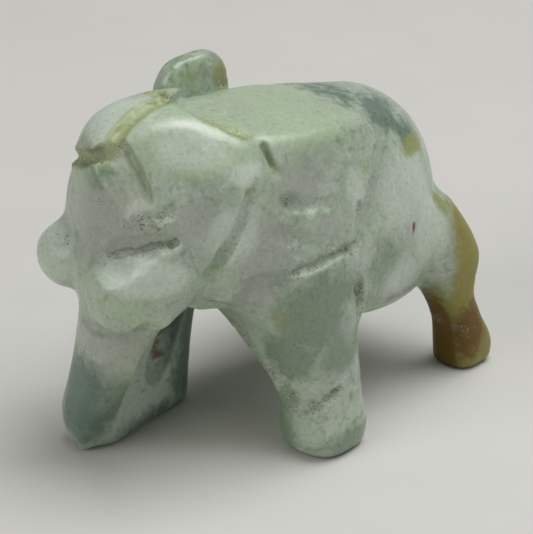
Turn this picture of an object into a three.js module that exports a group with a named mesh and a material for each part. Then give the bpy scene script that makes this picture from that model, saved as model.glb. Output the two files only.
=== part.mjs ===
// A small elephant carved from one piece of pale green jade, seen as a carver makes it: rounded
// main masses and flat ground facets first, then narrow cuts made with the edge of a wheel.
// The animal stands along Y and looks towards -Y, its left side is +X, and +Z is up.
// The origin is on the ground under the middle of the figure. Lengths are in millimetres.
import * as THREE from "three";

// Driving dimensions
const HEIGHT = 45; // nominal height, from the soles to the top of the raised right ear
const HEAD_TURN = 22; // degrees that the head is turned to the animal's right
const CUT_WIDTH = 2.2; // a usual wheel cut, from lip to lip
const CUT_DEPTH = 1.0; // a usual wheel cut, below the surface around it
const EAR_RELIEF = 1.1; // how far the left ear's flap stands out from the shoulder
const SOLE_EDGE = 1.2; // rounding where the walls of the feet meet the ground
const ARRIS = 0.9; // rounding along the lips of a cut
const FACET = 1.5; // spacing of the ground facets that make up the surface

// The figure's places are shares of its height: a share is a 45th of it.
const SHARES_IN_HEIGHT = 45;
const share = (amount) => (amount * HEIGHT) / SHARES_IN_HEIGHT;
const at = (x, y, z) => new THREE.Vector3(share(x), share(y), share(z));
const towards = (x, y, z) => new THREE.Vector3(x, y, z).normalize();

// How forms are put together. A form is a function that gives a point's distance to its surface,
// below zero inside it, and a blend is the width over which two forms run into each other.
const overlap = (a, b, blend) => {
  const near = Math.max(blend - Math.abs(a - b), 0) / blend;
  return (near * near * blend) / 4;
};
const join = (blend, ...forms) => (p) =>
  forms.map((form) => form(p)).reduce((a, b) => Math.min(a, b) - overlap(a, b, blend));
const keep = (blend, ...forms) => (p) =>
  forms.map((form) => form(p)).reduce((a, b) => Math.max(a, b) + overlap(a, b, blend));
const bothSides = (form) => (p) => form(new THREE.Vector3(Math.abs(p.x), p.y, p.z));
const otherSide = (form) => (p) => form(new THREE.Vector3(-p.x, p.y, p.z));
const inFrame = (matrix, form) => {
  const inverse = matrix.clone().invert();
  return (p) => form(p.clone().applyMatrix4(inverse));
};

// Flat ground face through a point, with its normal outwards.
const face = (point, normal) => (p) => p.clone().sub(point).dot(normal);

// Ground face with a slight swell: part of a large ball that touches the point.
const swell = (point, normal, radius) => {
  const centre = point.clone().addScaledVector(normal, -radius);
  return (p) => p.distanceTo(centre) - radius;
};

// Rounded mass with three half-widths; a power above 2 fills out its corners.
const mass = (centre, half, power = 2, turn = new THREE.Matrix4()) => {
  const body = (q) => {
    const sum =
      Math.abs(q.x / half.x) ** power + Math.abs(q.y / half.y) ** power + Math.abs(q.z / half.z) ** power;
    return (sum ** (1 / power) - 1) * Math.min(half.x, half.y, half.z);
  };
  return inFrame(turn.clone().setPosition(centre), body);
};

// A value that changes smoothly from one station to the next.
function smoothly(stations, value, where) {
  const last = stations.length - 1;
  const x = THREE.MathUtils.clamp(where, stations[0][0], stations[last][0]);
  const upper = Math.max(1, stations.findIndex((row) => row[0] >= x));
  const [a, b] = [upper - 1, upper];
  const slope = (i) => {
    const [low, high] = [Math.max(i - 1, 0), Math.min(i + 1, last)];
    return (stations[high][value] - stations[low][value]) / (stations[high][0] - stations[low][0]);
  };
  const span = stations[b][0] - stations[a][0];
  const t = (x - stations[a][0]) / span;
  const ease = t * t * (3 - 2 * t);
  const bend = t * (1 - t) * span;
  return (
    stations[a][value] * (1 - ease) + stations[b][value] * ease +
    bend * ((1 - t) * slope(a) - t * slope(b))
  );
}

// Limb built up through level sections. Each station is its height, the middle of the section
// across and along, and its half-widths across and along, all as shares.
const LIMB_POWER = 2.9;
const LIMB_END = 1.6;
const BELOW_GROUND = share(4); // limbs run on below the soles, which are ground flat last
function limb(rows) {
  const stations = rows.map((row) => row.map(share));
  const top = stations[stations.length - 1][0];
  const bottom = stations[0][0] - BELOW_GROUND;
  return (p) => {
    const [across, along, halfAcross, halfAlong] = [1, 2, 3, 4].map((i) => smoothly(stations, i, p.z));
    const ring =
      (Math.abs((p.x - across) / halfAcross) ** LIMB_POWER +
        Math.abs((p.y - along) / halfAlong) ** LIMB_POWER) ** (1 / LIMB_POWER);
    const wall = (ring - 1) * Math.min(halfAcross, halfAlong);
    const ends = Math.max(bottom - p.z, p.z - top);
    return Math.max(wall, ends) + overlap(wall, ends, LIMB_END);
  };
}

// Round bar whose radius changes from one end to the other.
const bar = (from, to, radiusFrom, radiusTo) => (p) => {
  const line = new THREE.Line3(from, to);
  const t = line.closestPointToPointParameter(p, true);
  return p.distanceTo(line.at(t, new THREE.Vector3())) - THREE.MathUtils.lerp(radiusFrom, radiusTo, t);
};

// Cut made by a wheel moved along a line on the surface, leaning out of it in one direction.
// The result is everything that the wheel leaves standing.
function wheelCut(points, { width = CUT_WIDTH, depth = CUT_DEPTH, out }) {
  const radius = (width ** 2 / 4 + depth ** 2) / (2 * depth);
  const path = points.map((point) => point.clone().addScaledVector(out, radius - depth));
  const strokes = path.slice(1).map((end, i) => bar(path[i], end, radius, radius));
  return (p) => -Math.min(...strokes.map((stroke) => stroke(p)));
}

// Trunk of the body: a boxy shoulder with a level top and sloping flanks, a low round rump and a
// belly that hangs between the legs.
function torso() {
  const shoulder = keep(
    4,
    swell(at(0, -12, 41.2), towards(0, 0.16, 1), share(40)),
    swell(at(11, -13, 33), towards(0.955, 0, 0.27), share(60)),
    swell(at(0, -24, 28), towards(0, -1, -0.1), share(30)),
    swell(at(0, -17, 15.6), towards(0, -0.45, -1), share(40)),
    face(at(0, 3, 25), towards(0, 1, 0.2)),
  );
  const rump = mass(at(0, 1.2, 24.2), at(11.5, 12.4, 13.7));
  const belly = mass(at(0, 2.4, 17.8), at(11.6, 11, 9.2));
  const neck = mass(at(-0.6, -23, 30.8), at(9.6, 8, 11.5), 3);
  return join(2, join(1.5, join(4, bothSides(shoulder), rump), belly), neck);
}

// The left foreleg is broad at the chest, the right one is slim, and the hind legs are pinched in
// above a flared foot.
const LEFT_FORELEG = [
  [0, 11.1, -14.3, 4.0, 4.4],
  [3, 11.2, -14.7, 4.4, 5.0],
  [6, 10.9, -14.7, 4.2, 4.7],
  [9, 10.2, -14.9, 4.7, 4.9],
  [12, 9.0, -15.4, 5.7, 5.4],
  [15, 7.6, -15.8, 6.9, 5.9],
  [19, 6.6, -16.0, 7.6, 6.6],
  [25, 6.0, -15.0, 7.0, 7.0],
];
const RIGHT_FORELEG = [
  [0, -11.7, -20.3, 3.7, 4.4],
  [4, -11.5, -20.2, 3.8, 4.5],
  [8, -11.2, -20.0, 3.9, 4.4],
  [14, -10.8, -19.6, 4.1, 4.4],
  [22, -9.2, -17.4, 4.4, 5.2],
];
const HIND_LEG = [
  [0, 10.6, 13.4, 3.1, 3.2],
  [3, 10.7, 13.2, 3.3, 3.2],
  [7, 10.7, 11.8, 2.9, 2.6],
  [11, 10.3, 10.3, 3.2, 2.8],
  [16, 8.9, 10.1, 4.4, 4.8],
  [24, 7.0, 6.0, 4.0, 5.0],
];

// Short tail laid down the middle of the rump, in low relief.
function tail() {
  const root = at(0, 11.6, 30);
  const bend = at(0.4, 13.7, 22);
  const tip = at(1.2, 12.4, 13.5);
  return join(1.2, bar(root, bend, share(1.7), share(1.4)), bar(bend, tip, share(1.4), share(1.7)));
}

// The head has a frame of its own on the middle of the neck: its Y runs back along the head, X to
// the animal's left. Points are given as forward, left and up.
const HEAD_FRAME = new THREE.Matrix4()
  .makeRotationZ(THREE.MathUtils.degToRad(-HEAD_TURN))
  .setPosition(at(0, -18, 0));
const onHead = (forward, left, up) => at(left, -forward, up);
const headWay = (forward, left, up) => towards(left, -forward, up);

function head() {
  const dome = mass(onHead(7.6, -1.2, 27.8), onHead(-16.9, 16.9, 16.9));
  const skull = keep(
    0.5,
    bothSides(dome),
    bothSides(swell(onHead(9, 10.6, 33.5), headWay(0.3, 0.88, 0.36), share(60))),
    swell(onHead(18.95, -2, 32), headWay(0.985, -0.1, 0.03), share(60)),
    swell(onHead(17.6, 4.6, 33.5), headWay(0.86, 0.5, 0.05), share(60)),
    bothSides(face(onHead(8.1, 11.3, 32.2), headWay(-0.16, 0.95, -0.2))),
  );
  const trimmed = keep(
    0.6,
    skull,
    bothSides(face(onHead(4.7, 5.2, 41.3), headWay(-0.67, -0.65, -0.35))),
    bothSides(face(onHead(7.8, 9, 26.5), headWay(-0.88, 0, -0.47))),
    bothSides(face(onHead(10.2, 8, 24.3), headWay(-0.77, 0, -0.64))),
    face(onHead(14, 0, 20), headWay(0, 0, -1)),
  );
  const lobes = [
    [onHead(11.7, -2.9, 38), onHead(-6.4, 5, 5.6)], // right half of the crown
    [onHead(12.8, 6.8, 26.2), onHead(-4.6, 4.2, 4.6)], // left cheek
    [onHead(17.2, -7, 24), onHead(-4.5, 4.5, 4.2)], // right tusk
  ];
  // the root of the left tusk is boxy, with a ledge along its top
  const tusk = keep(
    0.5,
    mass(onHead(16, 4.9, 24.2), onHead(-4.7, 4.3, 4.6), 3),
    face(onHead(18.5, 5, 27.6), headWay(0.3, 0.15, 0.94)),
  );
  return join(1, join(1.4, trimmed, ...lobes.map(([middle, half]) => mass(middle, half))), tusk);
}

// The trunk hangs to the ground and bends to the animal's right at its tip, where the left side is
// ground away. Its stations are height, left, back, and the half-widths.
const TRUNK = [
  [0, -3.8, -17.2, 3.7, 2.3],
  [4, -3.3, -17.5, 4.3, 2.7],
  [9, -1.7, -17.2, 4.6, 2.6],
  [15, -0.5, -15.8, 5.0, 3.3],
  [20, 0.0, -14.0, 5.2, 5.0],
  [30, 0.0, -13.0, 5.2, 5.5],
  [35, 0.0, -12.0, 4.6, 4.6],
];
const trunk = () =>
  keep(0.9, limb(TRUNK), face(onHead(14.5, -3.8, 0), headWay(-0.37, 0.93, -0.6)));

// Stone left standing between the trunk and the right foreleg: a low bar along the ground and a
// thin web above it, set back in a hollow.
function bridge() {
  const ground = bar(at(-9.6, -31, 2.2), at(-11.4, -22.5, 2.6), share(2.6), share(3.4));
  const web = mass(at(-10.2, -26.6, 8), at(2.4, 6.6, 14.5), 2.6);
  return join(2, ground, web);
}

// The left ear is a flap that lies flat on the shoulder, cut square at its lower and rear edges,
// and its front runs into the neck.
// The right ear is thicker and stands up past the line of the back as a rounded knob.
function leftEar() {
  const flank = swell(at(11.35, -13, 31.7), towards(0.955, -0.03, 0.27), share(60));
  const outer = keep(
    1.4,
    (p) => flank(p) - EAR_RELIEF,
    swell(at(9.6, -23.5, 31), towards(0.87, -0.46, 0.12), share(40)),
    face(at(10, -15, 40.4), towards(0, 0.1, 1)),
  );
  const inner = (p) => -flank(p) - share(4);
  return keep(
    0.9,
    outer,
    inner,
    face(at(10, -7, 33), towards(0, 0.8, -0.6)),
    face(at(10, -4.6, 38), towards(0, 1, 0.6)),
    face(at(10, -15, 25.6), towards(0, 0, -1)),
    face(at(10, -28, 33), towards(0, -1, 0)),
  );
}
const rightEar = () =>
  mass(at(-11.6, -12.2, 36), at(2, 5.3, 7.5), 3.2, new THREE.Matrix4().makeRotationZ(-0.17));

// Wheel cuts on the head
const HEAD_CUTS = [
  {
    // down the middle of the crown
    path: [[7.2, 0.2, 44.9], [9.5, 0.8, 45.2], [12, 1.2, 44.1], [14.5, 1.9, 43], [17, 2.4, 41.2]],
    depth: CUT_DEPTH * 0.7,
    out: headWay(0.45, 0.1, 0.9),
  },
  {
    // across the brow
    path: [[16.5, -8.5, 36.5], [18.6, -4.5, 37.6], [18.4, -0.9, 38.8], [17.2, 2.2, 40.4], [15.6, 3.2, 41.6]],
    depth: CUT_DEPTH * 0.9,
    out: headWay(0.95, 0, 0.35),
  },
  {
    // from the brow down the left side of the face
    path: [[15.7, 2.7, 41.5], [15.1, 5, 38.8], [14.4, 7.1, 35.6]],
    depth: CUT_DEPTH * 0.7,
    out: headWay(0.8, 0.5, 0.2),
  },
  {
    // wide hollow over the mouth
    path: [[18.4, 4.6, 29.4], [17, 6.2, 30.1], [14.9, 8.6, 31.3], [12.6, 10, 32]],
    width: CUT_WIDTH * 1.3,
    depth: CUT_DEPTH * 0.85,
    out: headWay(0.6, 0.8, 0.2),
  },
  {
    // under the root of the tusk, where the trunk steps back
    path: [[19.5, -3.3, 18.9], [19.4, 0.9, 18.2], [18.6, 4.3, 19], [15.1, 8.3, 21]],
    width: CUT_WIDTH * 0.8,
    depth: CUT_DEPTH * 0.6,
    out: headWay(0.8, 0.45, -0.4),
  },
  {
    // across the neck behind the crown
    path: [
      [8.6, -4.6, 43.9], [8, -1, 44.3], [6.9, 2.2, 44.1], [5.2, 4.8, 43.2], [3.4, 6.4, 42.4],
      [2, 7.6, 41.5],
    ],
    width: CUT_WIDTH * 0.8,
    depth: CUT_DEPTH * 0.6,
    out: headWay(-0.2, 0.3, 0.9),
  },
  {
    // behind the right cheek, in front of the ear
    path: [[4.4, -9.8, 39.6], [5.2, -11.2, 34.6], [5.8, -11.4, 31], [7.6, -10.4, 27]],
    depth: CUT_DEPTH * 0.7,
    out: headWay(-0.3, -0.9, -0.1),
  },
];

// Wheel cuts on the left side of the body
const LEFT_CUTS = [
  {
    // under the ear
    path: [[13.2, -9.6, 25.9], [13.3, -17, 25.9], [11.6, -23, 25.2]],
    width: CUT_WIDTH * 0.6,
    depth: CUT_DEPTH * 0.65,
    out: towards(0.95, -0.2, 0.1),
  },
  {
    // where the left foreleg meets the belly
    path: [[13.9, -11.6, 21.5], [13.9, -11.2, 17]],
    depth: CUT_DEPTH * 0.8,
    out: towards(1, 0.3, 0),
  },
];

// Wheel cuts on the right side of the body
const RIGHT_CUTS = [
  {
    // under the ear
    path: [[-12.6, -6.5, 26.4], [-12.8, -14, 26.4], [-12.2, -21, 26.2]],
    depth: CUT_DEPTH * 0.8,
    out: towards(-1, 0, 0),
  },
  {
    // behind the ear
    path: [[-9.4, -5.6, 37.6], [-12, -6.6, 30]],
    width: CUT_WIDTH * 0.8,
    depth: CUT_DEPTH * 0.8,
    out: towards(-1, 0.6, 0.1),
  },
  {
    // over the right forefoot
    path: [[-15, -22.5, 7.2], [-15.3, -18, 7.6]],
    depth: CUT_DEPTH * 0.8,
    out: towards(-1, 0, 0.1),
  },
];

function elephant() {
  const hindLeg = limb(HIND_LEG);
  const legs = join(3, torso(), limb(LEFT_FORELEG), limb(RIGHT_FORELEG));
  const hindquarters = join(1.6, legs, hindLeg, otherSide(hindLeg));
  const body = join(1.2, hindquarters, bridge(), tail());
  const headAndTrunk = inFrame(HEAD_FRAME, join(1.2, head(), trunk()));
  const figure = join(0.8, join(1.2, body, rightEar(), leftEar()), headAndTrunk);
  const headCuts = HEAD_CUTS.map(({ path, ...wheel }) =>
    inFrame(HEAD_FRAME, wheelCut(path.map((point) => onHead(...point)), wheel)),
  );
  const bodyCuts = [...LEFT_CUTS, ...RIGHT_CUTS].map(({ path, ...wheel }) =>
    wheelCut(path.map((point) => at(...point)), wheel),
  );
  const carved = keep(ARRIS, figure, ...headCuts, ...bodyCuts);
  return keep(SOLE_EDGE, carved, face(at(0, 0, 0), towards(0, 0, -1)));
}

// Surface of a form as a closed mesh, on a grid of cells. Each sheet of surface that passes through
// a cell gives one vertex there, moved onto the surface, and each grid line that the surface
// crosses gives one square between the four cells around it.
const SLOPE_STEP = 0.05;
const LEAST_SLOPE = 0.7;
const SETTLING_STEPS = 2;
const EVENING_ROUNDS = 6;
const EVENING_SHARE = 0.5;
const AXES = ["x", "y", "z"];
const CORNERS = [0, 1, 2, 3, 4, 5, 6, 7].map((bits) => [bits & 1, (bits >> 1) & 1, bits >> 2]);
const EDGES = CORNERS.flatMap((_, from) =>
  [0, 1, 2].filter((axis) => !(from & (1 << axis))).map((axis) => [from, from | (1 << axis), axis]),
);
const SIDES = [0, 1, 2].flatMap((axis) =>
  [0, 1].map((end) => EDGES.filter((edge) => [0, 1].every((i) => CORNERS[edge[i]][axis] === end))),
);
const edgeKey = (cell, from, axis) => (cell * CORNERS.length + from) * AXES.length + axis;

function settle(form, point) {
  for (let step = 0; step < SETTLING_STEPS; step++) {
    const slope = new THREE.Vector3();
    for (const axis of AXES) {
      const ahead = point.clone();
      const behind = point.clone();
      ahead[axis] += SLOPE_STEP;
      behind[axis] -= SLOPE_STEP;
      slope[axis] = (form(ahead) - form(behind)) / (2 * SLOPE_STEP);
    }
    point.addScaledVector(slope, -form(point) / Math.max(slope.lengthSq(), LEAST_SLOPE));
  }
  return point;
}

// The vertices spread evenly over the surface: each moves towards the middle of its neighbours,
// and back onto the form.
function evened(form, vertices, triangles) {
  const neighbours = vertices.map(() => new Set());
  triangles.forEach((vertex, i) => {
    const next = i % 3 === 2 ? triangles[i - 2] : triangles[i + 1];
    neighbours[vertex].add(next);
    neighbours[next].add(vertex);
  });
  let points = vertices.map((point) => settle(form, point.clone()));
  for (let round = 0; round < EVENING_ROUNDS; round++)
    points = points.map((point, i) => {
      const middle = new THREE.Vector3();
      neighbours[i].forEach((other) => middle.addScaledVector(points[other], 1 / neighbours[i].size));
      return settle(form, point.clone().lerp(middle, EVENING_SHARE));
    });
  return points;
}

// Edges of one cell that the surface crosses, grouped by the sheet that they belong to. Where the
// surface crosses a side of the cell twice, each corner inside the form keeps to itself.
function sheets(inside) {
  const crossed = EDGES.filter(([from, to]) => inside[from] !== inside[to]);
  const groups = new Map(crossed.map((edge) => [edge, [edge]]));
  const link = (one, other) => {
    if (groups.get(one) === groups.get(other)) return;
    const merged = [...groups.get(one), ...groups.get(other)];
    merged.forEach((edge) => groups.set(edge, merged));
  };
  for (const side of SIDES) {
    const cut = side.filter((edge) => groups.has(edge));
    if (cut.length === 2) link(cut[0], cut[1]);
    if (cut.length === 4)
      for (const corner of CORNERS.keys()) {
        const own = cut.filter(([from, to]) => inside[corner] && (from === corner || to === corner));
        if (own.length === 2) link(own[0], own[1]);
      }
  }
  return new Set(groups.values());
}

function surfaceOf(form, low, high, cell) {
  const counts = high.clone().sub(low).divideScalar(cell).ceil().addScalar(1);
  const strides = [1, counts.x, counts.x * counts.y];
  const index = (i, j, k) => i + j * strides[1] + k * strides[2];
  const corner = (i, j, k) => low.clone().add(new THREE.Vector3(i, j, k).multiplyScalar(cell));
  const values = new Float64Array(counts.x * counts.y * counts.z);
  for (let k = 0; k < counts.z; k++)
    for (let j = 0; j < counts.y; j++)
      for (let i = 0; i < counts.x; i++) values[index(i, j, k)] = form(corner(i, j, k));

  const vertices = [];
  const vertexAt = new Map();
  for (let k = 0; k < counts.z - 1; k++)
    for (let j = 0; j < counts.y - 1; j++)
      for (let i = 0; i < counts.x - 1; i++) {
        const depths = CORNERS.map(([a, b, c]) => values[index(i + a, j + b, k + c)]);
        for (const sheet of sheets(depths.map((depth) => depth < 0))) {
          const middle = new THREE.Vector3();
          for (const [from, to] of sheet) {
            const [start, end] = [from, to].map((n) => new THREE.Vector3(...CORNERS[n]));
            middle.add(start.lerp(end, depths[from] / (depths[from] - depths[to])));
          }
          const point = corner(i, j, k).addScaledVector(middle, cell / sheet.length);
          for (const [from, , axis] of sheet)
            vertexAt.set(edgeKey(index(i, j, k), from, axis), vertices.length);
          vertices.push(point);
        }
      }

  const triangles = [];
  for (let k = 1; k < counts.z - 1; k++)
    for (let j = 1; j < counts.y - 1; j++)
      for (let i = 1; i < counts.x - 1; i++)
        for (const axis of AXES.keys()) {
          const here = index(i, j, k);
          const inside = values[here] < 0;
          if (inside === values[here + strides[axis]] < 0) continue;
          const [u, v] = [(axis + 1) % 3, (axis + 2) % 3];
          const around = [[1, 1], [0, 1], [0, 0], [1, 0]].map(([back, down]) => {
            const cellAt = here - back * strides[u] - down * strides[v];
            return vertexAt.get(edgeKey(cellAt, (back << u) | (down << v), axis));
          });
          if (!inside) around.reverse();
          const [a, b, c, d] = around;
          triangles.push(a, b, c, a, c, d);
        }
  const geometry = new THREE.BufferGeometry();
  geometry.setFromPoints(evened(form, vertices, triangles));
  geometry.setIndex(triangles);
  return geometry;
}

const geometry = surfaceOf(elephant(), at(-24, -46, -3), at(24, 24, 52), FACET);
geometry.computeBoundingBox();
const middle = geometry.boundingBox.getCenter(new THREE.Vector3());
geometry.translate(-middle.x, -middle.y, -geometry.boundingBox.min.z);
geometry.computeVertexNormals();

const jade = new THREE.MeshStandardMaterial({ color: 0xb4c2ae, roughness: 0.35, metalness: 0 });
const carving = new THREE.Mesh(geometry, jade);
carving.name = "jade_elephant";

const figure = new THREE.Group();
figure.add(carving);

export default figure;
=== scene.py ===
"""Small elephant carved from one piece of pale green jade, standing on plain paper.

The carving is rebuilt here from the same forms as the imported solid, on a finer grid, so that its
wheel cuts, arrises and pitted ground are real relief. All forms are in millimetres, in a frame
whose origin lies between the feet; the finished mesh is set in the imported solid's place, in metres.
"""

import logging
import math
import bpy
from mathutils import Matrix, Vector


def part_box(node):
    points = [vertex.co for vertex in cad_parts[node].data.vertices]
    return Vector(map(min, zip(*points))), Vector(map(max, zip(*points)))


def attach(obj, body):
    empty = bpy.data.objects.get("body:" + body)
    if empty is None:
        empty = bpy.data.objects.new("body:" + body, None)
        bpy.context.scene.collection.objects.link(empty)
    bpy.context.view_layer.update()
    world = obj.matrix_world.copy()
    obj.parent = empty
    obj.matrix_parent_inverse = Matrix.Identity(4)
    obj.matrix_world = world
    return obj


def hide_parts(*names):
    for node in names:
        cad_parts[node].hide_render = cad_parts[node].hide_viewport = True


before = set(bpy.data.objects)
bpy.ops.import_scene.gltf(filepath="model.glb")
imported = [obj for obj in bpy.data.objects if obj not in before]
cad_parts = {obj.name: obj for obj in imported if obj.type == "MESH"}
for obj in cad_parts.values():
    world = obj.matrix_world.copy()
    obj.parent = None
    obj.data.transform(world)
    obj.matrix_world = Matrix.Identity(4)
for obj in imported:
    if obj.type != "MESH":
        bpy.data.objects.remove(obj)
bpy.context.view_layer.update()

from concurrent.futures import ThreadPoolExecutor
from dataclasses import dataclass, field
from enum import Enum
from functools import partial
from typing import Callable, Sequence

import bpy
import numpy as np
from mathutils import Matrix, Vector

NODE = "jade_elephant"
BODY = "root"
MM = 0.001
JADEITE_IOR = 1.66

log = logging.getLogger("jade elephant")

Point = tuple[float, float, float]
Form = Callable[[np.ndarray], np.ndarray]


# Forms: each takes points in rows and gives their distance to its surface, below zero inside it.


def overlap(a: np.ndarray, b: np.ndarray, blend: float) -> np.ndarray:
    """Extra stone where two forms run into each other.

    Args:
        a: Distances to the first form.
        b: Distances to the second form.
        blend: Width over which they meet, in millimetres.

    Returns:
        What is added to, or taken from, the sharp meeting of the two.
    """
    near = np.maximum(blend - np.abs(a - b), 0) / blend
    return near * near * (blend / 4)


def join(blend: float, *forms: Form) -> Form:
    """Puts forms together.

    Args:
        blend: Width of the rounding where two of them meet.
        *forms: The forms.

    Returns:
        One form that holds all of them.
    """

    def joined(p: np.ndarray) -> np.ndarray:
        """Distance to the joined forms."""
        total = forms[0](p)
        for form in forms[1:]:
            other = form(p)
            total = np.minimum(total, other) - overlap(total, other, blend)
        return total

    return joined


def keep(blend: float, *forms: Form) -> Form:
    """Keeps what lies inside every one of the forms.

    Args:
        blend: Width of the rounding along the edges between them.
        *forms: The forms.

    Returns:
        The form that they have in common.
    """

    def kept(p: np.ndarray) -> np.ndarray:
        """Distance to what the forms have in common."""
        total = forms[0](p)
        for form in forms[1:]:
            other = form(p)
            total = np.maximum(total, other) + overlap(total, other, blend)
        return total

    return kept


def both_sides(form: Form) -> Form:
    """The form's left half, and its mirror image on the right."""
    return lambda p: form(np.column_stack([np.abs(p[:, 0]), p[:, 1:]]))


def other_side(form: Form) -> Form:
    """The form's mirror image."""
    return lambda p: form(p * np.array([-1, 1, 1], p.dtype))


def unit(x: float, y: float, z: float) -> np.ndarray:
    """A direction of length one."""
    v = np.array([x, y, z], float)
    return v / np.linalg.norm(v)


def face(point: Sequence[float], normal: np.ndarray) -> Form:
    """Flat ground face through a point, with its normal outwards."""
    level = float(np.dot(point, normal))
    return lambda p: p @ normal.astype(p.dtype) - level


def swell(point: Sequence[float], normal: np.ndarray, radius: float) -> Form:
    """Ground face with a slight swell.

    Args:
        point: Where it touches the figure.
        normal: Its way outwards there.
        radius: Radius of the large ball that it is part of.

    Returns:
        The form.
    """
    centre = np.array(point, float) - radius * normal
    return lambda p: np.linalg.norm(p - centre.astype(p.dtype), axis=1) - radius


def mass(centre: Sequence[float], half: Sequence[float], power: float = 2, turn: float = 0) -> Form:
    """Rounded mass of stone.

    Args:
        centre: Its middle.
        half: Its three half-widths.
        power: Above 2 it fills out its corners.
        turn: Its turn about the upright axis, in radians.

    Returns:
        The form.
    """
    c, s = math.cos(turn), math.sin(turn)
    middle, widths = np.array(centre, float), np.abs(np.array(half, float))
    least = float(widths.min())

    def body(p: np.ndarray) -> np.ndarray:
        """Distance to the mass."""
        q = p - middle.astype(p.dtype)
        x, y = (q[:, 0] * c + q[:, 1] * s, q[:, 1] * c - q[:, 0] * s) if turn else (q[:, 0], q[:, 1])
        x, y, z = np.abs(x / widths[0]), np.abs(y / widths[1]), np.abs(q[:, 2] / widths[2])
        if power == 2:
            return (np.sqrt(x * x + y * y + z * z) - 1) * least
        return ((x**power + y**power + z**power) ** (1 / power) - 1) * least

    return body


def bar(start: Sequence[float], end: Sequence[float], radius_start: float, radius_end: float) -> Form:
    """Round bar whose radius changes from one end to the other.

    Args:
        start: Middle of its first end.
        end: Middle of its last end.
        radius_start: Radius at the first end.
        radius_end: Radius at the last end.

    Returns:
        The form.
    """
    a, way = np.array(start, float), np.array(end, float) - np.array(start, float)
    length2 = float(way @ way)

    def body(p: np.ndarray) -> np.ndarray:
        """Distance to the bar."""
        from_a = p - a.astype(p.dtype)
        t = np.clip(from_a @ (way / length2).astype(p.dtype), 0, 1)
        off = from_a - t[:, None] * way.astype(p.dtype)
        return np.sqrt((off * off).sum(1)) - (radius_start + (radius_end - radius_start) * t)

    return body


@dataclass(frozen=True)
class Limb:
    """Limb built up through level sections."""

    stations: tuple[tuple[float, float, float, float, float], ...]
    power: float = 2.9
    end_round: float = 1.6
    below_ground: float = 4.0

    def sections(self, z: np.ndarray) -> np.ndarray:
        """Middle and half-widths of the section at each height.

        Args:
            z: Heights.

        Returns:
            Four rows: across, along, half across, half along.
        """
        rows = np.array(self.stations, float)
        heights, last = rows[:, 0], len(rows) - 1
        low, high = np.maximum(np.arange(last + 1) - 1, 0), np.minimum(np.arange(last + 1) + 1, last)
        slope = (rows[high, 1:] - rows[low, 1:]) / (heights[high] - heights[low])[:, None]
        x = np.clip(z, heights[0], heights[-1])
        b = np.maximum(np.searchsorted(heights, x), 1)
        a = b - 1
        span = heights[b] - heights[a]
        t = (x - heights[a]) / span
        ease = t * t * (3 - 2 * t)
        bend = t * (1 - t) * span
        level = rows[:, 1:].T
        steady = level[:, a] * (1 - ease) + level[:, b] * ease
        return steady + bend * ((1 - t) * slope.T[:, a] - t * slope.T[:, b])

    def form(self) -> Form:
        """The limb as a form."""
        top, bottom = self.stations[-1][0], self.stations[0][0] - self.below_ground

        def body(p: np.ndarray) -> np.ndarray:
            """Distance to the limb."""
            across, along, half_across, half_along = self.sections(p[:, 2])
            u = np.abs((p[:, 0] - across) / half_across) ** self.power
            v = np.abs((p[:, 1] - along) / half_along) ** self.power
            wall = ((u + v) ** (1 / self.power) - 1) * np.minimum(half_across, half_along)
            ends = np.maximum(bottom - p[:, 2], p[:, 2] - top)
            return np.maximum(wall, ends) + overlap(wall, ends, self.end_round)

        return body


class Ground(Enum):
    """How the bottom of a wheel cut was left."""

    RAW = 1.0
    WORN = 0.45
    EASED = 0.12


@dataclass(frozen=True)
class WheelCut:
    """Cut made by a wheel moved along a line on the surface."""

    path: tuple[Point, ...]
    out: Point
    width: float
    depth: float
    ground: Ground
    stain: float
    run_out: float = 0.8
    end_stretch: float = 1.6

    def line(self) -> list[np.ndarray]:
        """The cut's path, which rises out of the stone over its two end stretches."""
        points = [np.array(point, float) for point in self.path]
        rise = unit(*self.out) * self.depth * self.run_out
        first, last = points[1] - points[0], points[-2] - points[-1]
        near = points[0] + first * min(0.4, self.end_stretch / np.linalg.norm(first))
        far = points[-1] + last * min(0.4, self.end_stretch / np.linalg.norm(last))
        return [points[0] + rise, near, *points[1:-1], far, points[-1] + rise]

    def form(self) -> Form:
        """Everything that the wheel leaves standing."""
        radius = (self.width**2 / 4 + self.depth**2) / (2 * self.depth)
        line = [point + unit(*self.out) * (radius - self.depth) for point in self.line()]
        strokes = [bar(a, b, radius, radius) for a, b in zip(line[:-1], line[1:])]

        def left(p: np.ndarray) -> np.ndarray:
            """Distance to the cut, below zero outside it."""
            return -np.minimum.reduce([stroke(p) for stroke in strokes])

        return left


@dataclass
class Torso:
    """Boxy shoulder with a level top, low round rump, hanging belly and short neck."""

    shoulder_blend: float = 4.0
    rump: tuple[Point, Point] = ((0, 1.2, 24.2), (11.5, 12.4, 13.7))
    belly: tuple[Point, Point] = ((0, 2.4, 17.8), (11.6, 11.0, 9.2))
    neck: tuple[Point, Point] = ((-0.6, -23, 30.8), (9.6, 8, 11.5))

    def form(self) -> Form:
        """The torso as a form."""
        shoulder = keep(
            self.shoulder_blend,
            swell((0, -12, 41.2), unit(0, 0.16, 1), 40),
            swell((11, -13, 33), unit(0.955, 0, 0.27), 60),
            swell((0, -24, 28), unit(0, -1, -0.1), 30),
            swell((0, -17, 15.6), unit(0, -0.45, -1), 40),
            face((0, 3, 25), unit(0, 1, 0.2)),
        )
        trunk_of_body = join(self.shoulder_blend, both_sides(shoulder), mass(*self.rump))
        return join(2, join(1.5, trunk_of_body, mass(*self.belly)), mass(*self.neck, power=3))


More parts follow.
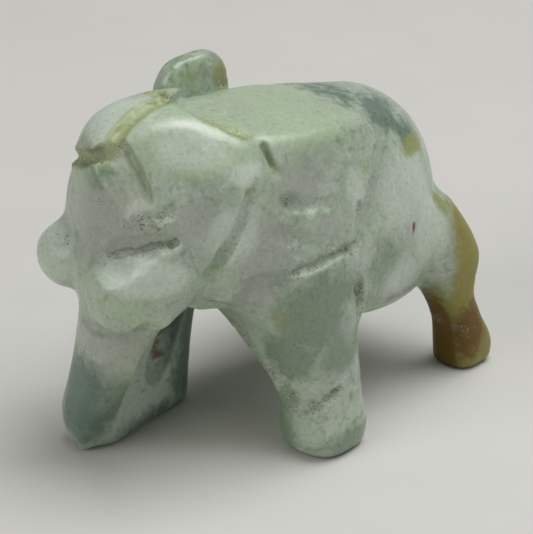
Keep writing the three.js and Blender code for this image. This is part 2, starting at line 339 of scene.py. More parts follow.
@dataclass
class Legs:
    """Left foreleg broad at the chest, slim right foreleg, hind legs pinched above the foot."""

    left_fore: Limb = Limb(
        (
            (0, 11.1, -14.3, 4.0, 4.4),
            (3, 11.2, -14.7, 4.4, 5.0),
            (6, 10.9, -14.7, 4.2, 4.7),
            (9, 10.2, -14.9, 4.7, 4.9),
            (12, 9.0, -15.4, 5.7, 5.4),
            (15, 7.6, -15.8, 6.9, 5.9),
            (19, 6.6, -16.0, 7.6, 6.6),
            (25, 6.0, -15.0, 7.0, 7.0),
        )
    )
    right_fore: Limb = Limb(
        (
            (0, -11.7, -20.3, 3.7, 4.4),
            (4, -11.5, -20.2, 3.8, 4.5),
            (8, -11.2, -20.0, 3.9, 4.4),
            (14, -10.8, -19.6, 4.1, 4.4),
            (22, -9.2, -17.4, 4.4, 5.2),
        )
    )
    hind: Limb = Limb(
        (
            (0, 10.6, 13.4, 3.1, 3.2),
            (3, 10.7, 13.2, 3.3, 3.2),
            (7, 10.7, 11.8, 2.9, 2.6),
            (11, 10.3, 10.3, 3.2, 2.8),
            (16, 8.9, 10.1, 4.4, 4.8),
            (24, 7.0, 6.0, 4.0, 5.0),
        )
    )

    def on(self, torso: Form) -> Form:
        """The torso with its four legs."""
        hind = self.hind.form()
        fore = join(3, torso, self.left_fore.form(), self.right_fore.form())
        return join(1.6, fore, hind, other_side(hind))


@dataclass
class Tail:
    """Short tail laid down the middle of the rump, in low relief."""

    line: tuple[Point, Point, Point] = ((0, 11.6, 30), (0.4, 13.7, 22), (1.2, 12.4, 13.5))
    thick: float = 1.7
    thin: float = 1.4

    def form(self) -> Form:
        """The tail as a form."""
        root, bend, tip = self.line
        return join(1.2, bar(root, bend, self.thick, self.thin), bar(bend, tip, self.thin, self.thick))


@dataclass
class Bridge:
    """Stone left standing between the trunk and the right foreleg."""

    low: tuple[Point, Point] = ((-9.6, -31, 2.2), (-11.4, -22.5, 2.6))
    low_radii: tuple[float, float] = (2.6, 3.4)
    web: tuple[Point, Point] = ((-10.2, -26.6, 8), (2.4, 6.6, 14.5))

    def form(self) -> Form:
        """The low bar and the thin web above it."""
        return join(2, bar(*self.low, *self.low_radii), mass(*self.web, power=2.6))


@dataclass
class Ears:
    """Left ear flat on the shoulder, right ear raised past the line of the back as a knob."""

    relief: float = 1.1
    thickness: float = 4.0
    right: tuple[Point, Point] = ((-11.6, -12.2, 36), (2, 5.3, 7.5))
    right_turn: float = -0.17

    def left_form(self) -> Form:
        """The left ear, cut square at its lower and rear edges; its front runs into the neck."""
        flank = swell((11.35, -13, 31.7), unit(0.955, -0.03, 0.27), 60)
        outer = keep(
            1.4,
            lambda p: flank(p) - self.relief,
            swell((9.6, -23.5, 31), unit(0.87, -0.46, 0.12), 40),
            face((10, -15, 40.4), unit(0, 0.1, 1)),
        )
        return keep(
            0.9,
            outer,
            lambda p: -flank(p) - self.thickness,
            face((10, -7.0, 33), unit(0, 0.8, -0.6)),
            face((10, -4.6, 38), unit(0, 1, 0.6)),
            face((10, -15, 25.6), unit(0, 0, -1)),
            face((10, -28, 33), unit(0, -1, 0)),
        )

    def right_form(self) -> Form:
        """The right ear."""
        return mass(*self.right, power=3.2, turn=self.right_turn)


def on_head(forward: float, left: float, up: float) -> Point:
    """A point of the head's own frame, whose Y runs back along the head."""
    return (left, -forward, up)


def head_way(forward: float, left: float, up: float) -> np.ndarray:
    """A direction in the head's own frame."""
    return unit(left, -forward, up)


@dataclass
class Head:
    """Domed head with ground cheeks, tusk roots and a trunk that hangs to the ground."""

    turn: float = 22.0
    pivot: Point = (0, -18, 0)
    dome_radius: float = 16.9
    trunk: Limb = Limb(
        (
            (0, -3.8, -17.2, 3.7, 2.3),
            (4, -3.3, -17.5, 4.3, 2.7),
            (9, -1.7, -17.2, 4.6, 2.6),
            (15, -0.5, -15.8, 5.0, 3.3),
            (20, 0.0, -14.0, 5.2, 5.0),
            (30, 0.0, -13.0, 5.2, 5.5),
            (35, 0.0, -12.0, 4.6, 4.6),
        )
    )
    right_crown: tuple[Point, Point] = (on_head(11.7, -2.9, 38), (5, 6.4, 5.6))
    left_cheek: tuple[Point, Point] = (on_head(12.8, 6.8, 26.2), (4.2, 4.6, 4.6))
    left_tusk: tuple[Point, Point] = (on_head(16, 4.9, 24.2), (4.3, 4.7, 4.6))
    right_tusk: tuple[Point, Point] = (on_head(17.2, -7, 24), (4.5, 4.5, 4.2))

    def placed(self, form: Form) -> Form:
        """A form of the head's own frame, set on the neck and turned with the head."""
        a = math.radians(self.turn)
        across, back = np.array([math.cos(a), -math.sin(a), 0]), np.array([math.sin(a), math.cos(a), 0])
        axes = np.column_stack([across, back, [0, 0, 1]])
        pivot = np.array(self.pivot, float)
        return lambda p: form((p - pivot.astype(p.dtype)) @ axes.astype(p.dtype))

    def form(self) -> Form:
        """Head and trunk as one form, in the head's own frame."""
        skull = keep(
            0.5,
            both_sides(mass(on_head(7.6, -1.2, 27.8), (self.dome_radius,) * 3)),
            both_sides(swell(on_head(9, 10.6, 33.5), head_way(0.3, 0.88, 0.36), 60)),
            swell(on_head(18.95, -2, 32), head_way(0.985, -0.1, 0.03), 60),
            swell(on_head(17.6, 4.6, 33.5), head_way(0.86, 0.5, 0.05), 60),
            both_sides(face(on_head(8.1, 11.3, 32.2), head_way(-0.16, 0.95, -0.2))),
        )
        trimmed = keep(
            0.6,
            skull,
            both_sides(face(on_head(4.7, 5.2, 41.3), head_way(-0.67, -0.65, -0.35))),
            both_sides(face(on_head(7.8, 9, 26.5), head_way(-0.88, 0, -0.47))),
            both_sides(face(on_head(10.2, 8, 24.3), head_way(-0.77, 0, -0.64))),
            face(on_head(14, 0, 20), head_way(0, 0, -1)),
        )
        lobes = [self.right_crown, self.left_cheek, self.right_tusk]
        ledge = face(on_head(18.5, 5, 27.6), head_way(0.3, 0.15, 0.94))
        tusk = keep(0.5, mass(*self.left_tusk, power=3), ledge)
        head = join(1.0, join(1.4, trimmed, *[mass(*lobe) for lobe in lobes]), tusk)
        trunk = keep(0.9, self.trunk.form(), face(on_head(14.5, -3.8, 0), head_way(-0.37, 0.93, -0.6)))
        return join(1.2, head, trunk)


# The wheel cuts. Each row: points that the wheel passes, the way that it leans out of the surface, then
# its width and depth as shares of the usual ones, how its bottom was left and how stained it is.
CutRow = tuple[object, ...]
FLANK_WAY = (0.955, 0, 0.27)

# Cuts in the head's own frame, given as forward, left and up.
HEAD_CUTS: tuple[CutRow, ...] = (
    # down the middle of the crown
    ([(7.2, 0.4, 44.7), (8.8, 0.2, 44.6), (10.4, 0, 44.4), (12.6, 0.8, 43.8), (14.7, 1.6, 42.9),
      (16.8, 2.4, 41.5)],
     (0.45, 0.1, 0.9), 0.85, 0.6, Ground.WORN, 1.0),
    # across the brow
    ([(16.5, -8.5, 36.5), (18.6, -4.5, 37.6), (18.4, -0.9, 38.8), (17.2, 2.2, 40.4), (15.6, 3.2, 41.6)],
     (0.95, 0, 0.35), 0.8, 0.9, Ground.RAW, 0.8),
    # from the brow down the left side of the face, with a shallow side towards the face
    ([(15.5, 2.9, 41.6), (14.9, 5.2, 38.9), (14.2, 7.3, 35.7)],
     (0.8, 0.5, 0.2), 0.6, 0.75, Ground.WORN, 0.5),
    ([(16, 2.2, 41.2), (15.6, 4.4, 38.7), (14.9, 6.5, 35.6)],
     (0.8, 0.5, 0.2), 1.3, 0.28, Ground.EASED, 0.3),
    # eye: a short level cut
    ([(16.6, 6.3, 33.3), (14.8, 8, 34), (12.4, 8.8, 34.6)], (0.6, 0.8, 0.1), 0.6, 0.42),
    # a second level cut under it
    ([(17.0, 5.8, 32.2), (15.4, 7.4, 32.8), (13.8, 8.9, 33.2)], (0.6, 0.8, 0.1), 0.45, 0.26),
    # mouth
    ([(17.9, 4, 28.5), (16.4, 5.5, 29.2), (14.3, 7.9, 30.4), (12, 9.3, 31.2)], (0.6, 0.75, 0.3), 0.4, 0.4),
    # wide hollow over the mouth
    ([(18.4, 4.6, 29.4), (17.0, 6.2, 30.1), (14.9, 8.6, 31.3), (12.6, 10, 32)],
     (0.6, 0.8, 0.2), 1.3, 0.85, Ground.WORN),
    # under the root of the tusk, where the trunk steps back
    ([(19.5, -3.3, 18.9), (19.4, 0.9, 18.2), (18.6, 4.3, 19), (15.1, 8.3, 21)],
     (0.8, 0.45, -0.4), 0.8, 0.6, Ground.WORN),
    # across the neck behind the crown
    ([(8.6, -4.6, 43.9), (8, -1, 44.3), (6.9, 2.2, 44.1), (5.2, 4.8, 43.2), (3.4, 6.4, 42.4),
      (2, 7.6, 41.5)],
     (-0.2, 0.3, 0.9), 0.8, 0.6, Ground.RAW, 0.9),
    # behind the left cheek
    ([(2.6, 10.6, 37.2), (4.1, 11, 34.4), (5.2, 10.7, 31.8), (7.6, 10.3, 28.1), (9.2, 10.3, 25.6)],
     (-0.3, 0.9, -0.1), 0.7, 0.42, Ground.WORN),
    # behind the right cheek, in front of the ear
    ([(4.4, -9.8, 39.6), (5.2, -11.2, 34.6), (5.8, -11.4, 31), (7.6, -10.4, 27)],
     (-0.3, -0.9, -0.1), 1, 0.7),
)

# Cuts on the left side, then the fewer and plainer ones on the right.
BODY_CUTS: tuple[CutRow, ...] = (
    # between neck and ear
    ([(7.4, -21.6, 40), (9.4, -21, 37)], (0.9, 0, 0.5), 0.42, 0.55, Ground.WORN, 0.4),
    # lower end of the ear's rear edge
    ([(12.6, -10.2, 30.3), (12.9, -11.2, 26.7)], (1, 0.2, 0.1), 0.5, 0.4),
    # under the ear
    ([(13.2, -9.6, 25.9), (13.3, -17, 25.9), (11.6, -23, 25.2)], (0.95, -0.2, 0.1), 0.6, 0.65),
    # upper fold in the ear
    ([(9.9, -21, 33.7), (11.7, -15.8, 32.2)], FLANK_WAY, 0.7, 0.24, Ground.WORN),
    # lower fold in the ear
    ([(10, -23, 30.4), (12.3, -18.4, 27.9)], FLANK_WAY, 0.8, 0.26, Ground.WORN),
    # hollow of the ear
    ([(10.2, -19.8, 35.8), (10.5, -17.5, 35.6)], FLANK_WAY, 2.7, 0.3, Ground.EASED),
    # over the left forefoot
    ([(10.7, -19.4, 6.2), (13.8, -18.8, 8.2), (15.2, -15.4, 9.2)], (0.7, -0.7, 0.1), 0.5, 0.28),
    # notch in front of the left ankle
    ([(8.8, -19.9, 11), (9.7, -19.6, 8.4), (10.9, -19.4, 7.3)], (-0.3, -0.95, -0.15), 1.2, 0.7),
    # rough ground down the edge of the chest
    ([(2.9, -21.9, 17), (4.5, -20.9, 13.7), (6.4, -20.2, 11.2)], (-0.3, -0.85, -0.45), 0.9, 0.3),
    # under the neck
    ([(3.2, -29.4, 21.4), (5.1, -27.9, 21.1), (5.2, -25.6, 20.1)],
     (0.35, -0.5, -0.8), 2.1, 1.2, Ground.WORN),
    # hollow between the trunk and the right foreleg
    ([(-6.5, -20.4, 15), (-7.1, -22.1, 10), (-7.6, -23.6, 6)], (1, -0.15, 0), 1.6, 2.2, Ground.WORN),
    # where the left foreleg meets the belly
    ([(13.9, -11.6, 21.5), (13.9, -11.2, 17)], (1, 0.3, 0), 1, 0.8),
    # under the right ear
    ([(-12.6, -6.5, 26.4), (-12.8, -14, 26.4), (-12.2, -21, 26.2)], (-1, 0, 0), 1, 0.8),
    # behind the right ear
    ([(-9.4, -5.6, 37.6), (-12, -6.6, 30)], (-1, 0.6, 0.1), 0.8, 0.8),
    # over the right forefoot
    ([(-15, -22.5, 7.2), (-15.3, -18, 7.6)], (-1, 0, 0.1), 1, 0.8),
)


@dataclass
class Cuts:
    """Wheel cuts that draw the head, the ears and the feet."""

    width: float = 2.2
    depth: float = 1.0

    def cut(
        self,
        path: Sequence[Point],
        out: Point,
        wide: float = 1,
        deep: float = 1,
        ground: Ground = Ground.RAW,
        stain: float = 0.2,
    ) -> WheelCut:
        """One wheel cut, sized as shares of the usual one.

        Args:
            path: Points that the wheel passes.
            out: Way that it leans out of the surface.
            wide: Its width, as a share.
            deep: Its depth, as a share.
            ground: How its bottom was left.
            stain: How strongly it is stained.

        Returns:
            The cut.
        """
        return WheelCut(tuple(path), out, self.width * wide, self.depth * deep, ground, stain)

    def on_the_head(self) -> list[WheelCut]:
        """The head's cuts, in the head's own frame."""
        return [
            self.cut([on_head(*point) for point in path], on_head(*out), *sizes)
            for path, out, *sizes in HEAD_CUTS
        ]

    def on_the_body(self) -> list[WheelCut]:
        """The cuts on the body, the ears and the legs."""
        return [self.cut(*row) for row in BODY_CUTS]


# Large odd numbers that mix a lattice point's place and its pattern's seed into one key.
MIX_PLACE = (73856093, 19349663, 83492791)
MIX_SEED = 2654435761
MIX_KEY = 1274126177


def lattice_noise(p: np.ndarray, size: float, seed: int) -> np.ndarray:
    """Smooth noise between -1 and 1.

    Args:
        p: Points in rows.
        size: Spacing of its lattice, in the points' unit.
        seed: Picks one of its patterns.

    Returns:
        One value for each point.
    """
    q = p.astype(np.float64) / size + 1000.0
    base = np.floor(q).astype(np.int64)
    t = q - base
    t = t * t * (3 - 2 * t)
    total = np.zeros(len(p))
    for bits in range(8):
        step = np.array([bits & 1, (bits >> 1) & 1, bits >> 2])
        key = np.bitwise_xor.reduce((base + step) * MIX_PLACE, axis=1) ^ seed * MIX_SEED
        key = (key ^ (key >> 13)) * MIX_KEY & 0x7FFFFFFF
        value = (key & 0xFFFF) / 32767.5 - 1
        total += value * np.prod(np.where(step, t, 1 - t), axis=1)
    return total


def unsteady(form: Form, reach: float, size: float, seed: int = 41) -> Form:
    """The form as an unsteady hand leaves it.

    Args:
        form: The form that was meant.
        reach: How far its surface strays either way.
        size: Distance over which it strays.
        seed: Picks one of the ways in which it strays.

    Returns:
        The form with its surface moved in and out a little.
    """
    return lambda p: form(p) + (reach * lattice_noise(p, size, seed)).astype(p.dtype)


class Stone(Enum):
    """A tone laid in patches, mostly stone colour, in places painted light or shade; the value names the
    mesh attribute that carries it.
    """

    PALE = "pale"
    LEAF = "leaf"
    SHADE = "shade"
    TEAL = "teal"
    OLIVE = "olive"
    SKIN = "skin"
    RUST = "rust"
    GREY = "grey"


@dataclass(frozen=True)
class Patch:
    """Soft ball or oval of one tone about a point in the figure: stone colour, or in a few places painted
    light or shade.
    """

    stone: Stone
    middle: Point
    half: Point
    strength: float = 1.0
    reach: float = 1.5

    def amount(self, p: np.ndarray) -> np.ndarray:
        """How strongly the patch colours each point, from 0 to its strength."""
        off = (p - np.array(self.middle)) / np.array(self.half)
        return self.strength * np.clip(self.reach - np.linalg.norm(off, axis=1), 0, 1)


PATCHES = (
    # crown and left side of the dome: light leaf green, with a faintly bluish crown on the right
    Patch(Stone.PALE, (-7, -31, 43.5), (6, 5, 3.5), 0.9),
    Patch(Stone.TEAL, (-8.5, -34, 41), (2, 2, 1.5), 0.25),
    Patch(Stone.LEAF, (3, -27.5, 41.5), (8, 7, 3.5), 1.2),
    Patch(Stone.PALE, (3, -29, 41.5), (5, 4, 3), 0.8),
    Patch(Stone.SHADE, (4.6, -29.5, 38), (4, 3, 2), 0.3),
    Patch(Stone.SHADE, (3.6, -31.5, 36), (2.4, 2, 1.6), 0.3),
    # painted highlight: a small pale spot on the temple's ridge, where three faces meet
    Patch(Stone.PALE, (8.2, -24.8, 38), (3.4, 2.2, 1.2), 1.1),
    # face: cool grey, pale along the jaw, where part of it is painted light on that facet, and pale on the
    # tusk
    Patch(Stone.GREY, (-3, -36, 32), (6.5, 3, 6), 0.9),
    Patch(Stone.GREY, (5.6, -30.8, 33.5), (3.6, 4, 3.4), 0.75),
    # pale stone along the jaw, part of it painted light on that facet
    Patch(Stone.PALE, (8.2, -27.8, 31.5), (1.6, 5, 3.6), 0.9),
    Patch(Stone.PALE, (2.4, -36.4, 27.5), (4.8, 4, 2), 1.6),
    Patch(Stone.LEAF, (0.6, -37.6, 24.6), (3.5, 2.5, 2), 0.6),
    Patch(Stone.GREY, (5.5, -33.5, 23.5), (3, 3, 2), 0.6),
    Patch(Stone.GREY, (-3.5, -35.5, 17.5), (5, 3, 4), 0.8),
    Patch(Stone.SHADE, (-2, -35.5, 19.5), (4, 3, 2), 0.4),
    Patch(Stone.SHADE, (-4.8, -35.3, 37.6), (2.6, 1.6, 2.4), 0.5),
    Patch(Stone.PALE, (-13.5, -34.5, 25.5), (4, 3.5, 4.5), 0.9),
    # trunk and the stone bridge: darker towards the ground, partly the stone's darker green and partly
    # painted shade
    Patch(Stone.SHADE, (-7, -36, 8.5), (5.5, 4, 4.6), 1.3),
    Patch(Stone.TEAL, (-9, -36, 7.5), (4.8, 4, 6), 1),
    Patch(Stone.GREY, (-3.6, -36, 12.5), (2.6, 2.5, 3), 0.7),
    Patch(Stone.TEAL, (-9, -25, 0.6), (4.5, 8, 2.2), 0.75),
    # painted light: a pale wash over the bridge where it lies in shade
    Patch(Stone.PALE, (-8.5, -26, 7.5), (4, 7, 6), 1.2),
    # painted shade on the right foreleg, deepest and brownish in the hollow between it and the trunk
    Patch(Stone.TEAL, (-10.5, -17.5, 9), (5, 4, 9), 1.2),
    Patch(Stone.SHADE, (-9.2, -21.8, 10.5), (2.2, 1.8, 5), 1.6),
    Patch(Stone.RUST, (-9.6, -21.8, 10.5), (1.8, 1.2, 4), 0.6),
    # shoulder, ear and left foreleg
    Patch(Stone.GREY, (8, -23, 27), (4, 3.5, 7), 0.95),
    Patch(Stone.GREY, (11, -18, 35), (2.5, 5, 3), 0.85),
    Patch(Stone.SHADE, (10.6, -20, 32.6), (1.6, 2.6, 1.8), 0.45),
    Patch(Stone.GREY, (12.5, -15.5, 29.5), (2.5, 3.5, 1.8), 0.6),
    Patch(Stone.PALE, (12, -10.5, 32), (1.6, 1.8, 4), 0.7),
    Patch(Stone.LEAF, (8, -14, 41), (5, 9, 2.4), 0.95),
    # painted shade: the left foreleg darkened towards the ground and on its inner side, among its green,
    # grey and olive clouds
    Patch(Stone.SHADE, (13.2, -17.5, 19.5), (3.4, 6, 4.6), 1.25),
    Patch(Stone.SHADE, (11.5, -21, 14.5), (3.4, 3, 3.4), 1),
    Patch(Stone.OLIVE, (10.6, -21, 19), (1.8, 2.4, 2), 0.5),
    Patch(Stone.GREY, (14.4, -16.5, 12.5), (2.2, 2.6, 2.4), 0.7),
    Patch(Stone.SHADE, (14.5, -15.5, 14), (2.4, 3.4, 2.6), 1.2),
    Patch(Stone.SHADE, (11.6, -22.6, 24.4), (2.4, 2.2, 2.4), 0.6),
    Patch(Stone.PALE, (14.6, -14, 17.5), (1.6, 2.2, 3), 0.5),
    Patch(Stone.PALE, (12.5, -18, 5.5), (4, 3.5, 2.6), 0.35),
    Patch(Stone.SHADE, (14.5, -14.5, 2), (4, 4, 2.2), 0.8),
    Patch(Stone.SHADE, (8.8, -18, 4), (2.2, 2.6, 5), 1),
    # back: leaf green, then dark bluish streaks over the rump, edged by an olive stain
    Patch(Stone.LEAF, (0.5, -12, 41.5), (8, 9.5, 2.6), 1),
    Patch(Stone.TEAL, (0.5, -1.5, 38.8), (6.5, 4, 2.4), 0.62),
    Patch(Stone.TEAL, (6, 1.4, 36.4), (4.4, 4.2, 2.6), 0.8),
    Patch(Stone.TEAL, (8.2, 4.2, 33.6), (2.4, 2.8, 2), 0.75),
    Patch(Stone.TEAL, (-4, 7, 35), (4, 4, 3), 0.5),
    Patch(Stone.OLIVE, (9, 4.6, 32), (1.8, 4.6, 1.1), 1),
    Patch(Stone.OLIVE, (6.4, 10.8, 27), (2, 2.4, 4.6), 0.75),
    # rump side and belly: milky clouds over green
    Patch(Stone.PALE, (11.3, 0.2, 28.5), (2.8, 5.5, 5.5), 0.95),
    Patch(Stone.PALE, (11.6, 4.6, 22.5), (2, 3.5, 5), 0.9),
    Patch(Stone.SHADE, (12.4, -5.5, 20.5), (3, 4.6, 3.6), 0.7),
    Patch(Stone.PALE, (12.4, -1.5, 17.5), (2.5, 4.5, 3.5), 0.6),
    Patch(Stone.OLIVE, (10.6, 7.9, 22.5), (1, 1.2, 7.5), 0.75),
    # right ear
    Patch(Stone.SHADE, (-10.8, -13, 43), (3, 5, 2), 0.4),
    Patch(Stone.OLIVE, (-9, -8.6, 40.4), (1.8, 2.2, 2), 0.85),
    Patch(Stone.OLIVE, (-9.4, -15, 41.4), (1.2, 4, 0.8), 0.6),
    # left hind leg: the stone's brown skin, darkest on its inner front side, where part of it is painted
    # shade
    Patch(Stone.SKIN, (11.4, 13, 9.5), (4.5, 5, 13.5), 1.6),
    Patch(Stone.RUST, (12.8, 11.4, 6), (2.2, 2.6, 4.4), 0.95),
    # partly brown crust, partly painted shade on the leg's inner front side
    Patch(Stone.RUST, (9.4, 9.4, 5), (2.8, 3, 6.5), 1.5),
    # right side and hind leg, as plain clouds in keeping
    Patch(Stone.PALE, (-11.5, 0.5, 28), (3, 6, 6), 0.8),
    Patch(Stone.SHADE, (-12, -8, 21), (3, 5.5, 4.5), 0.8),
    Patch(Stone.LEAF, (-13, -12.5, 36), (2, 6, 6), 0.7),
    Patch(Stone.GREY, (-9.5, -28, 33), (4, 5, 5), 0.8),
    Patch(Stone.TEAL, (-11, 10.5, 12), (3.5, 4, 5), 0.5),
    Patch(Stone.SHADE, (0, 13, 24), (5, 3.5, 5), 0.6),
    Patch(Stone.PALE, (5, 12, 17), (3.5, 3.5, 4), 0.6),
)

# Places away from the wheel cuts where the stone is pitted too: middle, then radius.
PITTED = (
    ((-4.4, -36.2, 34.8), 1.5),
    ((-4.8, -36.5, 30.5), 1.5),
    ((-12.3, -34.5, 26.9), 1.5),
    ((-3.7, -36.6, 28.4), 1.3),
    ((-9.2, -8.8, 39.6), 1.4),
    ((12.9, -10, 17.5), 2),
    ((4.6, -21.6, 15), 2.6),
    ((-8, -24, 6.5), 3),
    ((9.4, -19.6, 8.6), 1.8),
    ((12.9, 9.8, 6), 1.6),
    ((9.6, 9, 8), 2.2),
    ((13, 13.5, 12), 1.2),
    ((10.6, -18.6, 36), 0.8),
)


@dataclass
class Relief:
    """Fine relief on the stone, laid over the carved forms."""

    raw_depth: float = 0.2
    raw_grain: float = 0.7
    pit_depth: float = 0.26
    pit_spacing: float = 0.9
    pit_level: float = 0.35  # the pits are where their noise is above this
    dark_level: float = 0.35  # share of a pit's depth from which it is darkened
    hand_depth: float = 0.1
    hand_size: float = 4.2
    seed: int = 7

    def height(self, p: np.ndarray, raw: np.ndarray) -> np.ndarray:
        """How far the surface stands out, or in where it is below zero.

        Args:
            p: Points on the surface.
            raw: How raw the ground is at each, from 0 to 1.

        Returns:
            A height for each point, in millimetres.
        """
        grain = lattice_noise(p, self.raw_grain, self.seed)
        grain += 0.5 * lattice_noise(p, self.raw_grain / 2, self.seed + 1)
        pits = np.clip(lattice_noise(p, self.pit_spacing, self.seed + 2) - self.pit_level, 0, 0.5) * 2
        hand = lattice_noise(p, self.hand_size, self.seed + 3)
        hand += 0.35 * lattice_noise(p, self.hand_size * 0.4, self.seed + 4)
        return raw * (self.raw_depth * grain - self.pit_depth * pits) + (1 - raw) * self.hand_depth * hand


@dataclass
class StoneMesher:
    """Turns a form into a closed mesh on a fine grid, and settles its vertices on the form."""

    low: Point = (-19, -41, -1)
    high: Point = (19, 19, 47)
    cell: float = 0.34
    coarse: int = 4
    margin: float = 1.3  # how much farther than half a coarse block the form is worked out exactly
    slope_step: float = 0.04
    least_slope: float = 0.5
    evening_rounds: int = 2
    evening_share: float = 0.35
    block: int = 24000
    threads: int = 4

    def values(self, form: Form, p: np.ndarray) -> np.ndarray:
        """The form's distances, worked out in blocks on several threads.

        Args:
            form: The form.
            p: Points in rows.

        Returns:
            One distance for each point.
        """
        points = p.astype(np.float32)
        blocks = [points[i : i + self.block] for i in range(0, len(points), self.block)]
        with ThreadPoolExecutor(self.threads) as pool:
            return np.concatenate(list(pool.map(form, blocks))).astype(np.float64)

    def sampled(self, form: Form) -> np.ndarray:
        """The form's distances on the grid, exact near its surface and rough elsewhere.

        Args:
            form: The form.

        Returns:
            A three-dimensional array of distances.
        """
        low, high = np.array(self.low, float), np.array(self.high, float)
        blocks = np.ceil((high - low) / (self.cell * self.coarse)).astype(int)
        counts = blocks * self.coarse + 1
        step = self.cell * self.coarse
        index = np.stack(np.meshgrid(*[np.arange(n) for n in blocks], indexing="ij"), -1).reshape(-1, 3)
        rough = self.values(form, low + (index + 0.5) * step)
        near = np.abs(rough) < step * math.sqrt(3) / 2 * self.margin
        cells = rough.reshape(blocks)
        for axis in range(3):
            cells = np.repeat(cells, self.coarse, axis)
        grid = np.pad(cells, [(0, 1)] * 3, mode="edge")
        wanted = np.zeros(counts, bool)
        for i, j, k in index[near] * self.coarse:
            wanted[i : i + self.coarse + 1, j : j + self.coarse + 1, k : k + self.coarse + 1] = True
        exact = np.argwhere(wanted)
        grid[wanted] = self.values(form, low + exact * self.cell)
        return grid

    @staticmethod
    def sheet_table() -> tuple[list[tuple[int, int, int]], np.ndarray, np.ndarray]:
        """Which crossed edges of a cell belong to one sheet of surface, for every pattern of corners.

        Returns:
            The twelve edges as first corner, last corner and axis; the sheet of each edge for the
            256 patterns, or -1 where it isn't crossed; and each pattern's count of sheets.
        """
        corners = [(n & 1, (n >> 1) & 1, n >> 2) for n in range(8)]
        edges = [(n, n | 1 << axis, axis) for n in range(8) for axis in range(3) if not n >> axis & 1]
        sides = [
            [e for e, (a, b, _) in enumerate(edges) if corners[a][axis] == end == corners[b][axis]]
            for axis in range(3)
            for end in (0, 1)
        ]
        table, counts = np.full((256, 12), -1), np.zeros(256, int)
        for pattern in range(256):
            inside = [bool(pattern >> n & 1) for n in range(8)]
            group = {e: {e} for e, (a, b, _) in enumerate(edges) if inside[a] != inside[b]}
            for side in sides:
                crossed = [e for e in side if e in group]
                pairs = [crossed] if len(crossed) == 2 else []
                if len(crossed) == 4:
                    own = [[e for e in crossed if n in edges[e][:2]] for n in range(8) if inside[n]]
                    pairs = [pair for pair in own if len(pair) == 2]
                for one, other in pairs:
                    merged = group[one] | group[other]
                    for e in merged:
                        group[e] = merged
            sheets = sorted({tuple(sorted(g)) for g in group.values()})
            counts[pattern] = len(sheets)
            for number, sheet in enumerate(sheets):
                table[pattern, list(sheet)] = number
        return edges, table, counts

    def net(self, grid: np.ndarray) -> tuple[np.ndarray, np.ndarray]:
        """The grid's zero surface: a vertex for each sheet in a cell, a quad for each crossed line.

        Args:
            grid: Distances on the grid.

        Returns:
            Vertices, and quads as rows of four vertex numbers, facing outwards.
        """
        edges, table, sheet_counts = self.sheet_table()
        inside = grid < 0
        nx, ny, nz = grid.shape
        pattern = np.zeros((nx - 1, ny - 1, nz - 1), np.uint8)
        for n in range(8):
            a, b, c = n & 1, n >> 1 & 1, n >> 2
            pattern |= inside[a : nx - 1 + a, b : ny - 1 + b, c : nz - 1 + c].astype(np.uint8) << n
        count = sheet_counts[pattern]
        cells = np.argwhere(count > 0)
        own = pattern[tuple(cells.T)]
        first = np.concatenate([[0], np.cumsum(sheet_counts[own])])
        start = np.full(pattern.shape, -1, np.int64)
        start[tuple(cells.T)] = first[:-1]
        total, hits = np.zeros((first[-1], 3)), np.zeros(first[-1])
        for e, (a, b, axis) in enumerate(edges):
            here = table[own, e] >= 0
            at = cells[here]
            vertex = first[:-1][here] + table[own[here], e]
            corner = at + np.array([a & 1, a >> 1 & 1, a >> 2])
            after = corner.copy()
            after[:, axis] += 1
            da, db = grid[tuple(corner.T)], grid[tuple(after.T)]
            crossing = corner.astype(float)
            crossing[:, axis] += da / (da - db)
            for i in range(3):
                total[:, i] += np.bincount(vertex, crossing[:, i], first[-1])
            hits += np.bincount(vertex, minlength=first[-1])
        vertices = np.array(self.low) + total / hits[:, None] * self.cell

        edge_number = {(a, axis): e for e, (a, _, axis) in enumerate(edges)}
        quads = []
        for axis in range(3):
            u, v = (axis + 1) % 3, (axis + 2) % 3
            ahead = np.roll(inside, -1, axis)
            crossed = np.argwhere(inside != ahead)
            crossed = crossed[(crossed[:, axis] < grid.shape[axis] - 1) & (crossed.min(1) > 0)]
            ring = []
            for back, down in ((1, 1), (0, 1), (0, 0), (1, 0)):
                at = crossed.copy()
                at[:, u] -= back
                at[:, v] -= down
                e = edge_number[(back << u | down << v, axis)]
                where = tuple(at.T)
                ring.append(start[where] + table[pattern[where], e])
            quad = np.stack(ring, 1)
            out = ~inside[tuple(crossed.T)]
            quad[out] = quad[out][:, ::-1]
            quads.append(quad)
        return vertices, np.concatenate(quads)

    def slope(self, form: Form, p: np.ndarray) -> tuple[np.ndarray, np.ndarray]:
        """The form's distance and its slope at each point.

        Args:
            form: The form.
            p: Points in rows.

        Returns:
            Distances, and slopes in rows.
        """
        ways = np.array([[1, -1, -1], [-1, -1, 1], [-1, 1, -1], [1, 1, 1]], float)
        around = [self.values(form, p + way * self.slope_step) for way in ways]
        slope = sum(d[:, None] * way for d, way in zip(around, ways)) / (4 * self.slope_step)
        return sum(around) / 4, slope

    def settled(self, form: Form, p: np.ndarray) -> tuple[np.ndarray, np.ndarray]:
        """Points moved onto the form's surface along its slope, and the slopes that they had."""
        distance, slope = self.slope(form, p)
        steep = np.maximum((slope * slope).sum(1), self.least_slope)
        return p - slope * (distance / steep)[:, None], slope

